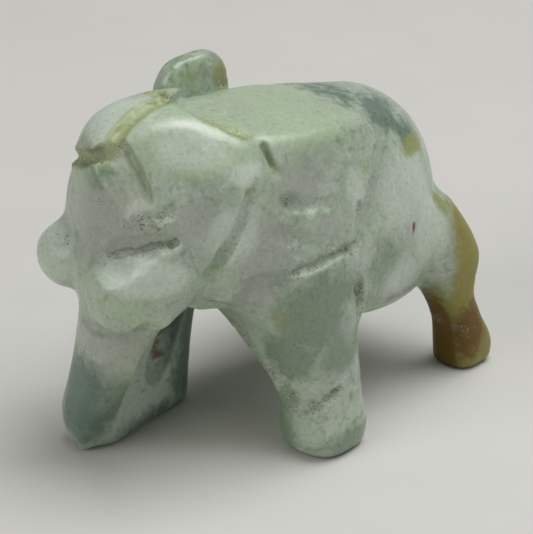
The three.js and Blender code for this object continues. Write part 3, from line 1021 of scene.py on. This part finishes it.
    def mesh(self, form: Form) -> tuple[np.ndarray, np.ndarray, np.ndarray]:
        """The form's surface.

        Args:
            form: The form.

        Returns:
            Vertices, quads, and the outward direction at each vertex.
        """
        p, quads = self.net(self.sampled(form))
        p, _ = self.settled(form, p)
        ends = np.concatenate([quads[:, [i, (i + 1) % 4]] for i in range(4)])
        ends = np.concatenate([ends, ends[:, ::-1]])
        near = np.bincount(ends[:, 0], minlength=len(p))[:, None]
        for _ in range(self.evening_rounds):
            total = np.stack([np.bincount(ends[:, 0], p[ends[:, 1], i], len(p)) for i in range(3)], 1)
            p, slope = self.settled(form, p + (total / near - p) * self.evening_share)
        return p, quads, slope / np.linalg.norm(slope, axis=1)[:, None]


def linear(hex_colour: str) -> tuple[float, float, float, float]:
    """An sRGB hex colour as the linear colour that the shaders take."""
    parts = [int(hex_colour[i : i + 2], 16) / 255 for i in (1, 3, 5)]
    red, green, blue = (c / 12.92 if c <= 0.04045 else ((c + 0.055) / 1.055) ** 2.4 for c in parts)
    return (red, green, blue, 1.0)


def node(
    tree: bpy.types.NodeTree, kind: str, settings: dict | None = None, **links: object
) -> bpy.types.Node:
    """Adds a node to a tree.

    Args:
        tree: The node tree.
        kind: The node's type name.
        settings: Its properties, and its input sockets' values under their names or numbers.
        **links: Sockets that feed its inputs, under the inputs' names in lower case with
            underscores, or as in0, in1 and so on for inputs by number.

    Returns:
        The node.
    """
    made = tree.nodes.new(kind)
    inputs = {}
    for number, socket in enumerate(made.inputs):
        inputs.setdefault(socket.name.lower().replace(" ", "_"), socket)
        inputs[f"in{number}"] = socket
    for name, value in (settings or {}).items():
        if name in inputs:
            inputs[name].default_value = value
        else:
            setattr(made, name, value)
    for name, source in links.items():
        tree.links.new(source, inputs[name])
    return made


def mixed(tree: bpy.types.NodeTree, factor: object, under: object, over: object) -> bpy.types.NodeSocket:
    """One colour laid over another.

    Args:
        tree: The node tree.
        factor: How much of the upper colour shows, as a socket or a number.
        under: The lower colour, as a socket or a hex colour.
        over: The upper colour, as a socket or a hex colour.

    Returns:
        The mixed colour.
    """
    made = node(tree, "ShaderNodeMix", {"data_type": "RGBA"})
    for socket, value in ((made.inputs[0], factor), (made.inputs[6], under), (made.inputs[7], over)):
        if isinstance(value, bpy.types.NodeSocket):
            tree.links.new(value, socket)
        else:
            socket.default_value = linear(value) if isinstance(value, str) else value
    return made.outputs[2]


def new_material(name: str) -> tuple[bpy.types.Material, bpy.types.NodeTree, bpy.types.NodeSocket]:
    """A material without nodes but for the one that tells the place on the object.

    Args:
        name: Its name.

    Returns:
        The material, its node tree, and the place as a socket.
    """
    material = bpy.data.materials.new(name)
    material.use_nodes = True
    material.node_tree.nodes.clear()
    place = node(material.node_tree, "ShaderNodeTexCoord").outputs["Object"]
    return material, material.node_tree, place


def put_in_scene(name: str, data: bpy.types.ID) -> bpy.types.Object:
    """A new object with its data, in the scene."""
    made = bpy.data.objects.new(name, data)
    bpy.context.scene.collection.objects.link(made)
    return made


@dataclass(frozen=True)
class JadeFinish:
    """Jadeite, carved with abrasive wheels and rubbed to a satin, waxy polish.

    The eye sees a soft sheen with small highlights on the arrises, light that sinks a little way
    in, milky clouds and green mottles under the surface, and dull whitish ground with dark specks
    where the wheel cuts weren't polished. The glints in that ground are painted into the colour, and
    some patches of tone are painted light or shade.
    """

    # the stone's tones; pale is also laid on as painted light, and shade, teal and rust as painted shade, in
    # some of the patches
    base: str = "#A8B5A5"
    pale: str = "#CAD5C8"
    leaf: str = "#B0C3A4"
    shade: str = "#6E866C"
    teal: str = "#45665A"
    olive: str = "#969A5E"
    skin: str = "#8F8740"
    rust: str = "#6C4E06"
    grey: str = "#A9AEA5"
    milk: str = "#BCC6BC"
    stain: str = "#98A45C"
    dirt: str = "#4A4428"
    bloom: str = "#B6BAAE"
    # near-white of the painted glints in the raw ground
    glinting_crystal: str = "#E6EAE2"
    fleck: str = "#5E1A10"
    fleck_at: Point = (12.4, 0.8, 23.4)
    fleck_half: Point = (1.0, 0.4, 0.8)
    cloud_size: float = 7.0  # milky clouds, in millimetres
    mottle_size: float = 1.6  # green mottles
    streak_size: float = 1.9  # dark streaks
    vein_size: float = 1.1  # small milky and green clouds
    grain_size: float = 0.5  # crystal grain seen under the polish
    speck_size: float = 0.34  # dark specks in unpolished ground
    gather_size: float = 1.4  # places where the specks gather
    rough_size: float = 0.16  # roughness of unpolished ground
    scratch_depth: float = 0.06  # fine polishing marks
    rough_depth: float = 0.12
    light_depth: float = 0.8  # how far light sinks in
    edge: float = 0.36  # how soft a patch's edge is

    def material(self, offset: np.ndarray) -> bpy.types.Material:
        """Builds the material.

        Args:
            offset: Where the figure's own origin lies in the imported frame, in millimetres.

        Returns:
            The material.
        """
        material, tree, place = new_material("jadeite_waxy_polish")
        blend = partial(mixed, tree)

        def noise(size: float, detail: float, shift: float, distortion: float = 0.0) -> bpy.types.NodeSocket:
            """Cloudy noise with features of a size in millimetres."""
            moved = node(tree, "ShaderNodeMapping", {"location": (shift, -shift, shift * 0.5)}, vector=place)
            cloud = {"scale": 1 / (size * MM), "detail": detail, "roughness": 0.6, "distortion": distortion}
            return node(tree, "ShaderNodeTexNoise", cloud, vector=moved.outputs[0]).outputs[0]

        def maths(operation: str, a: object, b: object) -> bpy.types.NodeSocket:
            """One step of arithmetic on sockets or numbers."""
            given = {"in0": a, "in1": b}
            fixed = {k: v for k, v in given.items() if isinstance(v, (int, float))}
            links = {k: v for k, v in given.items() if k not in fixed}
            return node(tree, "ShaderNodeMath", {"operation": operation, **fixed}, **links).outputs[0]

        def plus(base: object, value: object, share: object) -> bpy.types.NodeSocket:
            """A value with a share of another added to it."""
            return maths("ADD", base, maths("MULTIPLY", value, share))

        def ramp(value: object, low: float, high: float, most: float = 1.0) -> bpy.types.NodeSocket:
            """A smooth rise from 0 to most between two values."""
            ends = {"from_min": low, "from_max": high, "to_max": most}
            settings = {"interpolation_type": "SMOOTHSTEP", **ends}
            return node(tree, "ShaderNodeMapRange", settings, value=value).outputs[0]

        def attribute(name: str) -> bpy.types.NodeSocket:
            """A value carried by the mesh."""
            return node(tree, "ShaderNodeAttribute", {"attribute_name": name}).outputs["Fac"]

        clouds = noise(self.cloud_size, 4, 0.0)
        mottles = noise(self.mottle_size, 5, 0.11, 0.4)
        wander = maths("ADD", maths("MULTIPLY", mottles, 0.9), maths("MULTIPLY", clouds, 0.6))
        wander = maths("SUBTRACT", wander, 0.75)

        half_clouds = noise(self.cloud_size * 0.5, 6, 0.3, 0.8)
        veins, green_veins = noise(self.vein_size, 5, 0.83, 0.7), noise(self.vein_size * 1.3, 5, 0.21, 0.7)
        colour: object = self.base
        # layers of cloud, the small ones last: where each starts, where it is full, how far it covers
        for cloud, starts, full, most, tone in (
            (clouds, 0.35, 0.68, 1.0, self.leaf),
            (mottles, 0.5, 0.75, 0.32, self.shade),
            (half_clouds, 0.48, 0.75, 0.5, self.pale),
            (veins, 0.48, 0.68, 0.8, self.milk),
            (green_veins, 0.5, 0.7, 0.55, self.shade),
        ):
            colour = blend(ramp(cloud, starts, full, most), colour, tone)
        streaks = maths("SUBTRACT", noise(self.streak_size, 6, 0.47, 0.9), 0.5)
        # each tone's hex colour, how far it covers, what breaks it up and by how much
        tones = {
            Stone.GREY: (self.grey, 0.78, wander, 0.8),
            Stone.LEAF: (self.leaf, 0.75, wander, 0.8),
            Stone.SHADE: (self.shade, 0.78, wander, 1.3),
            Stone.PALE: (self.pale, 0.85, wander, 0.9),
            Stone.TEAL: (self.teal, 0.75, streaks, 1.8),
            Stone.OLIVE: (self.olive, 0.9, streaks, 1.0),
            Stone.SKIN: (self.skin, 0.97, wander, 0.8),
            Stone.RUST: (self.rust, 0.95, streaks, 1.6),
        }
        for stone, (tone, most, breaks, share) in tones.items():
            amount = plus(attribute(stone.value), breaks, share)
            there = ramp(attribute(stone.value), 0.0, 0.25)
            amount = maths("MULTIPLY", ramp(amount, 0.5 - self.edge, 0.5 + self.edge, most), there)
            colour = blend(amount, colour, tone)
        # fine crystal grain: a slight change of value all over, as in a sugary stone
        grain = noise(self.grain_size, 3, 0.7)
        value = plus(0.75, grain, 0.5)
        colour = node(tree, "ShaderNodeHueSaturation", None, color=colour, value=value).outputs[0]

        raw = attribute("raw")
        soaked = plus(attribute("stain"), wander, 0.7)
        colour = blend(ramp(soaked, 0.15, 1.0, 0.75), colour, self.stain)
        colour = blend(ramp(raw, 0.3, 1.0, 0.3), colour, self.bloom)
        gathered = ramp(noise(self.gather_size, 3, 0.5), 0.4, 0.6)
        specks = maths("MULTIPLY", ramp(noise(self.speck_size, 2, 1.3), 0.54, 0.64), gathered)
        dirt = maths("MULTIPLY", specks, ramp(raw, 0.1, 0.6))
        # the deep parts of the pits are darkened as well, in proportion to their depth
        dirt = maths("MAXIMUM", dirt, maths("MULTIPLY", attribute("pit"), 0.5))
        colour = blend(maths("MULTIPLY", dirt, 0.8), colour, self.dirt)
        # painted glints: near-white specks laid into the colour of the raw ground, for light caught by
        # crystal faces
        painted_glint = maths("MULTIPLY", ramp(noise(self.speck_size * 0.8, 2, 2.1), 0.6, 0.7), ramp(raw, 0.1, 0.6))
        colour = blend(maths("MULTIPLY", painted_glint, 0.7), colour, self.glinting_crystal)

        centre, half = (np.array(self.fleck_at) + offset) * MM, np.array(self.fleck_half) * MM
        oval = {"vector_type": "TEXTURE", "location": tuple(centre), "scale": tuple(half)}
        moved = node(tree, "ShaderNodeMapping", oval, vector=place)
        reach = node(tree, "ShaderNodeVectorMath", {"operation": "LENGTH"}, in0=moved.outputs[0])
        spot = ramp(plus(reach.outputs["Value"], grain, 0.8), 1.5, 0.9)
        colour = blend(spot, colour, self.fleck)

        # unpolished ground and the brown crust are dull, polished stone has a waxy sheen
        crust = ramp(maths("MAXIMUM", attribute(Stone.SKIN.value), attribute(Stone.RUST.value)), 0.2, 0.9)
        rough = plus(plus(plus(0.22, grain, 0.16), raw, 0.4), crust, 0.12)
        scratch = {"strength": 0.25, "distance": self.scratch_depth * MM}
        scratched = node(tree, "ShaderNodeBump", scratch, height=grain)
        ground = node(
            tree,
            "ShaderNodeBump",
            {"distance": self.rough_depth * MM},
            strength=plus(0.03, raw, 0.9),
            height=noise(self.rough_size, 2, 0.9),
            normal=scratched.outputs[0],
        )
        shader = node(
            tree,
            "ShaderNodeBsdfPrincipled",
            {
                "ior": JADEITE_IOR,
                "subsurface_weight": 0.3,
                "subsurface_radius": (1.0, 1.0, 0.8),
                "subsurface_scale": self.light_depth * MM,
                "coat_weight": 0.06,
                "coat_roughness": 0.25,
            },
            base_color=colour,
            roughness=rough,
            specular_ior_level=plus(0.5, crust, -0.3),
            normal=ground.outputs[0],
        )
        node(tree, "ShaderNodeOutputMaterial", None, surface=shader.outputs[0])
        return material


@dataclass(frozen=True)
class CrystalFinish:
    """Bare jadeite crystals in the unpolished cuts: clean cleavage faces that glint white."""

    light: str = "#DDE3DC"
    dark: str = "#9AA391"
    spacing: float = 0.5  # distance over which one grain differs from the next, in millimetres

    def material(self) -> bpy.types.Material:
        """Builds the material."""
        material, tree, place = new_material("jadeite_cleavage_faces")
        cells = node(tree, "ShaderNodeTexVoronoi", {"scale": 1 / (self.spacing * MM)}, vector=place)
        value = node(tree, "ShaderNodeSeparateColor", None, color=cells.outputs["Color"]).outputs[1]
        colour = mixed(tree, value, self.dark, self.light)
        surface = {"ior": JADEITE_IOR, "roughness": 0.12}
        shader = node(tree, "ShaderNodeBsdfPrincipled", surface, base_color=colour)
        node(tree, "ShaderNodeOutputMaterial", None, surface=shader.outputs[0])
        return material


@dataclass(frozen=True)
class PaperFinish:
    """Matt studio paper: rolled pulp, even and pale, with a faint fibre mottle."""

    light: str = "#DDDCD8"
    dark: str = "#D5D4D0"

    def material(self) -> bpy.types.Material:
        """Builds the material."""
        material, tree, place = new_material("studio_paper")
        fibre = node(tree, "ShaderNodeTexNoise", {"scale": 60.0, "detail": 3.0}, vector=place).outputs[0]
        colour = mixed(tree, fibre, self.light, self.dark)
        shader = node(tree, "ShaderNodeBsdfPrincipled", {"roughness": 0.9}, base_color=colour)
        node(tree, "ShaderNodeOutputMaterial", None, surface=shader.outputs[0])
        return material


@dataclass
class CutCrystals:
    """Crystal grains that stand a little out of the raw ground of the cuts."""

    size: float = 0.24
    density: float = 1.1  # grains on a square millimetre of raw ground
    least_shape: Point = (0.35, 0.35, 0.2)
    most_shape: Point = (1.0, 0.8, 0.45)
    seed: int = 11

    def tree(self) -> bpy.types.NodeTree:
        """Geometry nodes that scatter the grains where the mesh's raw value is high."""
        tree = bpy.data.node_groups.new("crystals_in_raw_ground", "GeometryNodeTree")
        for name, kind in (
            ("Geometry", "Geometry"),
            ("Grain Size", "Float"),
            ("Density", "Float"),
            ("Seed", "Int"),
            ("Material", "Material"),
        ):
            tree.interface.new_socket(name, in_out="INPUT", socket_type="NodeSocket" + kind)
        tree.interface.new_socket("Geometry", in_out="OUTPUT", socket_type="NodeSocketGeometry")
        given = node(tree, "NodeGroupInput").outputs
        raw = node(tree, "GeometryNodeInputNamedAttribute", {"data_type": "FLOAT", "name": "raw"}).outputs[0]
        much = node(tree, "ShaderNodeMath", {"operation": "POWER", "in1": 3.0}, in0=raw).outputs[0]
        ends = {"in0": much, "in1": given["Density"]}
        thick = node(tree, "ShaderNodeMath", {"operation": "MULTIPLY"}, **ends).outputs[0]
        scatter = node(
            tree,
            "GeometryNodeDistributePointsOnFaces",
            {"distribute_method": "RANDOM"},
            mesh=given["Geometry"],
            density=thick,
            seed=given["Seed"],
        )
        # a grain is a squat eight-sided crystal, half sunk in the stone
        glinting_crystal = node(tree, "GeometryNodeMeshIcoSphere", {"subdivisions": 1}, radius=given["Grain Size"])
        turn, scale = (
            node(tree, "FunctionNodeRandomValue", {"data_type": "FLOAT_VECTOR", **ends}, seed=given["Seed"])
            for ends in ({"in1": (math.tau,) * 3}, {"in0": self.least_shape, "in1": self.most_shape})
        )
        placed = node(
            tree,
            "GeometryNodeInstanceOnPoints",
            None,
            points=scatter.outputs["Points"],
            instance=glinting_crystal.outputs["Mesh"],
            rotation=turn.outputs[0],
            scale=scale.outputs[0],
        )
        real = node(tree, "GeometryNodeRealizeInstances", None, geometry=placed.outputs[0])
        flat = node(tree, "GeometryNodeSetShadeSmooth", {"shade_smooth": False}, geometry=real.outputs[0])
        finish = {"geometry": flat.outputs[0], "material": given["Material"]}
        dressed = node(tree, "GeometryNodeSetMaterial", None, **finish)
        node(tree, "NodeGroupOutput", None, geometry=dressed.outputs[0])
        return tree

    def build(self, ground: bpy.types.Object, finish: bpy.types.Material) -> bpy.types.Object:
        """Scatters the grains on the carving.

        Args:
            ground: The carved mesh, with its raw attribute.
            finish: The grains' material.

        Returns:
            The grains as one plain mesh object.
        """
        tree = self.tree()
        carrier = put_in_scene("crystal_carrier", ground.data.copy())
        modifier = carrier.modifiers.new("crystals", "NODES")
        modifier.node_group = tree
        values = {
            "Grain Size": self.size / 2 * MM,
            "Density": self.density / MM**2,
            "Seed": self.seed,
            "Material": finish,
        }
        for item in tree.interface.items_tree:
            if item.item_type == "SOCKET" and item.in_out == "INPUT" and item.name in values:
                modifier[item.identifier] = values[item.name]
        bpy.context.view_layer.update()
        graph = bpy.context.evaluated_depsgraph_get()
        mesh = bpy.data.meshes.new_from_object(carrier.evaluated_get(graph))
        bpy.data.objects.remove(carrier)
        return put_in_scene("cut_crystals", mesh)


@dataclass
class JadeElephant:
    """The whole carving: its forms, its cuts, its mesh and its dressing."""

    torso: Torso = field(default_factory=Torso)
    legs: Legs = field(default_factory=Legs)
    tail: Tail = field(default_factory=Tail)
    bridge: Bridge = field(default_factory=Bridge)
    ears: Ears = field(default_factory=Ears)
    head: Head = field(default_factory=Head)
    cuts: Cuts = field(default_factory=Cuts)
    relief: Relief = field(default_factory=Relief)
    mesher: StoneMesher = field(default_factory=StoneMesher)
    arris: float = 0.32
    sole_edge: float = 1.2
    cut_stray: float = 0.16  # how far a cut's wall strays either way, over cut_stray_size
    cut_stray_size: float = 1.5
    stain_reach: float = 0.9  # how far a cut's stain spreads from it
    raw_reach: float = 0.6  # how far its rough ground does
    pitted_raw: float = 0.8
    most_amount: float = 1.5  # the most that a patch's colour is piled up
    offset: np.ndarray = field(default_factory=lambda: np.zeros(3))

    def cut_forms(self) -> list[tuple[Form, WheelCut]]:
        """Each wheel cut as a form, with the cut that it comes from."""
        on_head_forms = [(self.head.placed(cut.form()), cut) for cut in self.cuts.on_the_head()]
        return on_head_forms + [(cut.form(), cut) for cut in self.cuts.on_the_body()]

    def form(self) -> Form:
        """The carving as a form."""
        body = join(1.2, self.legs.on(self.torso.form()), self.bridge.form(), self.tail.form())
        head = self.head.placed(self.head.form())
        eared = join(1.2, body, self.ears.right_form(), self.ears.left_form())
        figure = join(0.8, eared, head)
        uncut = keep(0.3, *[form for form, _ in self.cut_forms()])
        carved = keep(self.arris, figure, unsteady(uncut, self.cut_stray, self.cut_stray_size))
        return keep(self.sole_edge, carved, face((0, 0, 0), unit(0, 0, -1)))

    def rawness(self, p: np.ndarray) -> tuple[np.ndarray, np.ndarray]:
        """How raw the ground is at each point, and how stained.

        Args:
            p: Points on the surface.

        Returns:
            Two values from 0 to 1 for each point.
        """
        raw, stain = np.zeros(len(p)), np.zeros(len(p))
        for form, cut in self.cut_forms():
            distance = self.mesher.values(form, p)
            stain = np.maximum(stain, np.clip(1 + distance / self.stain_reach, 0, 1) * cut.stain)
            raw = np.maximum(raw, np.clip(1 + distance / self.raw_reach, 0, 1) * cut.ground.value)
        for middle, radius in PITTED:
            near = np.clip(1.4 - np.linalg.norm(p - np.array(middle), axis=1) / radius, 0, 1)
            raw = np.maximum(raw, near * self.pitted_raw)
        patchy = np.clip(0.75 + 0.6 * lattice_noise(p, 1.7, 31), 0, 1)
        return raw * patchy, stain

    def build(self) -> bpy.types.Object:
        """Makes the carving's mesh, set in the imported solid's place.

        Returns:
            The carving as an object at the origin, without its material.
        """
        p, quads, out = self.mesher.mesh(self.form())
        log.info("carving: %d vertices, %d quads", len(p), len(quads))
        raw, stain = self.rawness(p)
        height = self.relief.height(p, raw)
        off_ground = np.clip(p[:, 2] / 0.6, 0, 1)  # the soles stay flat
        stood = p + out * (height * off_ground)[:, None]
        pit = np.clip(-height / self.relief.pit_depth - self.relief.dark_level, 0, 1)
        low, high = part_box(NODE)
        solid_middle = (np.array(low) + np.array(high)) / 2 / MM
        own_middle = (p.min(0) + p.max(0)) / 2
        self.offset = np.array([solid_middle[0] - own_middle[0], solid_middle[1] - own_middle[1], 0])
        mesh = bpy.data.meshes.new("jade_carving")
        mesh.from_pydata(((stood + self.offset) * MM).tolist(), [], quads.tolist())
        mesh.validate()
        mesh.shade_smooth()
        values = {"raw": raw, "stain": stain, "pit": pit}
        for stone in Stone:
            amounts = [patch.amount(p) for patch in PATCHES if patch.stone is stone]
            values[stone.value] = np.clip(np.maximum.reduce(amounts), 0, self.most_amount)
        for name, value in values.items():
            mesh.attributes.new(name, "FLOAT", "POINT").data.foreach_set("value", value.astype(np.float32))
        return put_in_scene("jade_carving", mesh)


@dataclass
class Studio:
    """Pale paper, large soft lights, and the camera at the photograph's angle."""

    azimuth: float = 39.0
    elevation: float = 28.0
    distance: float = 420.0
    aim_right: float = -7.81
    aim_up: float = 12.875
    pixels_per_mm: float = 8.0
    frame_width: int = 533
    sensor: float = 36.0
    floor_size: float = 1.6
    floor_bend: float = 0.35
    floor_back: float = 0.9
    room_tone: str = "#D8DADA"
    room_strength: float = 0.09

    def floor(self) -> bpy.types.Object:
        """Paper on the ground, curved up well behind the figure."""
        half, bend = self.floor_size / 2, self.floor_bend
        curve = [(math.sin(a), math.cos(a)) for a in np.linspace(0, math.pi / 2, 13)]
        profile = [(-half, 0.0), *[(half - bend + bend * s, bend - bend * c) for s, c in curve]]
        profile.append((half, self.floor_back))
        turn = Matrix.Rotation(math.radians(self.azimuth), 3, "Z")
        points = [turn @ Vector((side * half * 1.6, y, z)) for y, z in profile for side in (-1, 1)]
        faces = [(2 * i, 2 * i + 1, 2 * i + 3, 2 * i + 2) for i in range(len(profile) - 1)]
        mesh = bpy.data.meshes.new("paper")
        mesh.from_pydata([tuple(v) for v in points], [], faces)
        mesh.shade_smooth()
        paper = put_in_scene("paper", mesh)
        paper.data.materials.append(PaperFinish().material())
        return paper

    def light(self, name: str, at: Point, aim: Point, size: float, power: float, tone: str) -> None:
        """Adds one square soft light.

        Args:
            name: Its name.
            at: Its place, in metres.
            aim: The point that it faces.
            size: Its side, in metres.
            power: Its power, in watts.
            tone: Its colour.
        """
        data = bpy.data.lights.new(name, "AREA")
        data.shape, data.size, data.energy = "SQUARE", size, power
        data.color = linear(tone)[:3]
        lamp = put_in_scene(name, data)
        lamp.location = at
        lamp.rotation_euler = (Vector(aim) - Vector(at)).to_track_quat("-Z", "Y").to_euler()

    def lights(self) -> None:
        """A large light overhead, one in front, a weak fill on the animal's left, and a pale room."""
        middle = (0.0, 0.0, 0.02)
        self.light("overhead_softbox", (0.12, 0.14, 0.64), middle, 0.5, 3.5, "#FFFFFF")
        self.light("front_softbox", (-0.1, -0.6, 0.4), middle, 0.45, 1.35, "#FFFDF8")
        self.light("left_fill", (0.6, 0.0, 0.34), middle, 0.5, 0.4, "#FFFDFB")
        world = bpy.data.worlds.new("room")
        world.use_nodes = True
        background = world.node_tree.nodes["Background"]
        background.inputs[0].default_value = linear(self.room_tone)
        background.inputs[1].default_value = self.room_strength
        bpy.context.scene.world = world

    def camera(self, offset: np.ndarray) -> None:
        """Sets the camera.

        Args:
            offset: Where the figure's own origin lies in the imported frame, in millimetres.
        """
        az, el = math.radians(self.azimuth), math.radians(self.elevation)
        back = Vector((math.sin(az) * math.cos(el), -math.cos(az) * math.cos(el), math.sin(el)))
        right = Vector((math.cos(az), math.sin(az), 0))
        up = back.cross(right)
        target = Vector([float(v) for v in offset])
        eye = target + back * self.distance
        aim = target + right * self.aim_right + up * self.aim_up
        data = bpy.data.cameras.new("camera")
        data.sensor_width = self.sensor
        data.lens = self.pixels_per_mm * self.distance / self.frame_width * self.sensor
        data.clip_start, data.clip_end = 0.01, 10
        camera = put_in_scene("camera", data)
        camera.location = eye * MM
        camera.rotation_euler = (aim - eye).to_track_quat("-Z", "Y").to_euler()
        bpy.context.scene.camera = camera


def main() -> None:
    """Builds the carving and its grains, dresses them and sets the studio up."""
    logging.basicConfig(level=logging.INFO, format="%(name)s: %(message)s")
    elephant = JadeElephant()
    carving = elephant.build()
    carving.data.materials.append(JadeFinish().material(elephant.offset))
    grains = CutCrystals().build(carving, CrystalFinish().material())
    log.info("crystals: %d faces", len(grains.data.polygons))
    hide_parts(NODE)
    for piece in (carving, grains):
        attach(piece, BODY)
    studio = Studio()
    studio.floor()
    studio.lights()
    studio.camera(elephant.offset)
    bpy.context.scene.view_settings.view_transform = "Standard"
    log.info("offset of the figure: %s", [round(float(v), 3) for v in elephant.offset])


if __name__ == "__main__":
    main()
